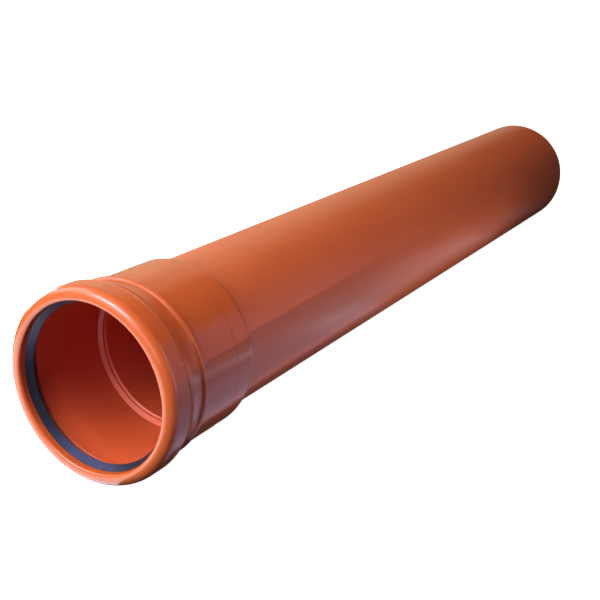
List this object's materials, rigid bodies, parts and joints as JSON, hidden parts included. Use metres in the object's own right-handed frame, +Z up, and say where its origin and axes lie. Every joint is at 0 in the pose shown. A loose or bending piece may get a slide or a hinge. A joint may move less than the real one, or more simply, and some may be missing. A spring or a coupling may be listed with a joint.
{
  "type": "polypropylene drain pipe",
  "caption": "Orange-brown polypropylene drain pipe with a belled push-fit socket and rubber lip seal at one end and a chamfered spigot at the other, lying on its side.",
  "frame": {"origin": "on the floor, under the middle of the pipe's bounding box, as the pipe lies at rest", "axes": "+X from the socket's mouth to the spigot end, +Z up. The pipe's axis lies in the XZ plane and dips about 0.7 degrees towards the spigot, because the socket's bead is larger than the barrel"},
  "size_m": [1.112, 0.1868, 0.187],
  "materials": {
    "orange_polypropylene": "orange-brown polypropylene, satin, the moulded socket glossier than the extruded barrel",
    "black_rubber": "black elastomer, smooth with a faint sheen"
  },
  "bodies": {
    "root": {"pipe": "orange_polypropylene", "seal_ring": "black_rubber"}
  },
  "joints": []
}
